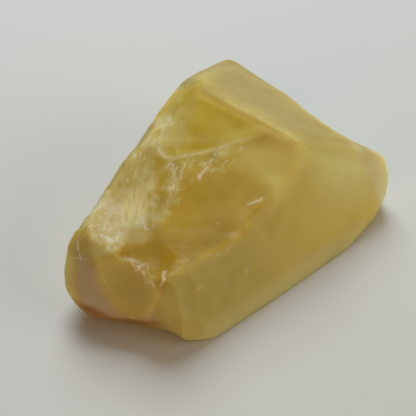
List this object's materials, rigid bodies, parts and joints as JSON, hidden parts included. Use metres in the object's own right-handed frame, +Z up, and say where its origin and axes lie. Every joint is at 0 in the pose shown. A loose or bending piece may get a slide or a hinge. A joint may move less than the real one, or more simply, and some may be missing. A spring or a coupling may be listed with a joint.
{
  "type": "rough opal",
  "caption": "Rough broken lump of milky yellow opal with shell-shaped scars, a sharp upper ridge and a flat underside to rest on.",
  "frame": {"origin": "centre of the stone's bounding box, at the level of the surface it rests on", "axes": "+Z up out of the resting face, +X along the longest extent towards the thick end, -Y towards the broad sloping front face"},
  "size_m": [0.0398, 0.0261, 0.0133],
  "materials": {
    "opal": "waxy, milky yellow, lets light in but is not see-through, paler on worn ridges"
  },
  "bodies": {
    "root": {"opal_stone": "opal"}
  },
  "joints": []
}
